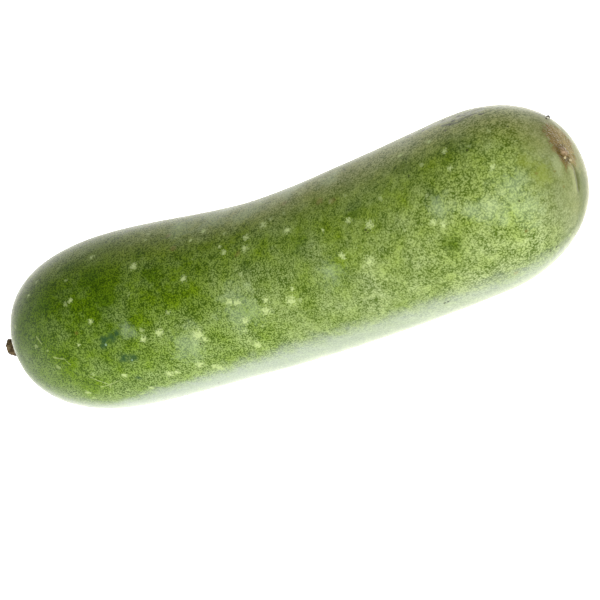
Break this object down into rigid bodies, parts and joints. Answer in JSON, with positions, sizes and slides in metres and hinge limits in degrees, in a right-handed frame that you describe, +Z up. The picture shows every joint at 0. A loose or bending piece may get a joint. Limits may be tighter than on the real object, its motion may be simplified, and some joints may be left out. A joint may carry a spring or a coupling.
{
  "type": "winter melon",
  "caption": "Whole long winter melon with waxy mottled green skin, a corky blossom scar and a dry ribbed stalk stub, lying on its side.",
  "frame": {"origin": "on the surface that the melon lies on, below the middle of its box", "axes": "+X along the fruit towards its blossom end, with the stalk at -X; +Z up; the side that the picture shows faces -Y"},
  "size_m": [0.3398, 0.0948, 0.0979],
  "materials": {
    "melon_skin": "waxy mottled green rind, satin",
    "dry_stalk": "dry fibrous brown stalk, matt"
  },
  "bodies": {
    "root": {"fruit": "melon_skin", "stem_stub": "dry_stalk"}
  },
  "joints": []
}
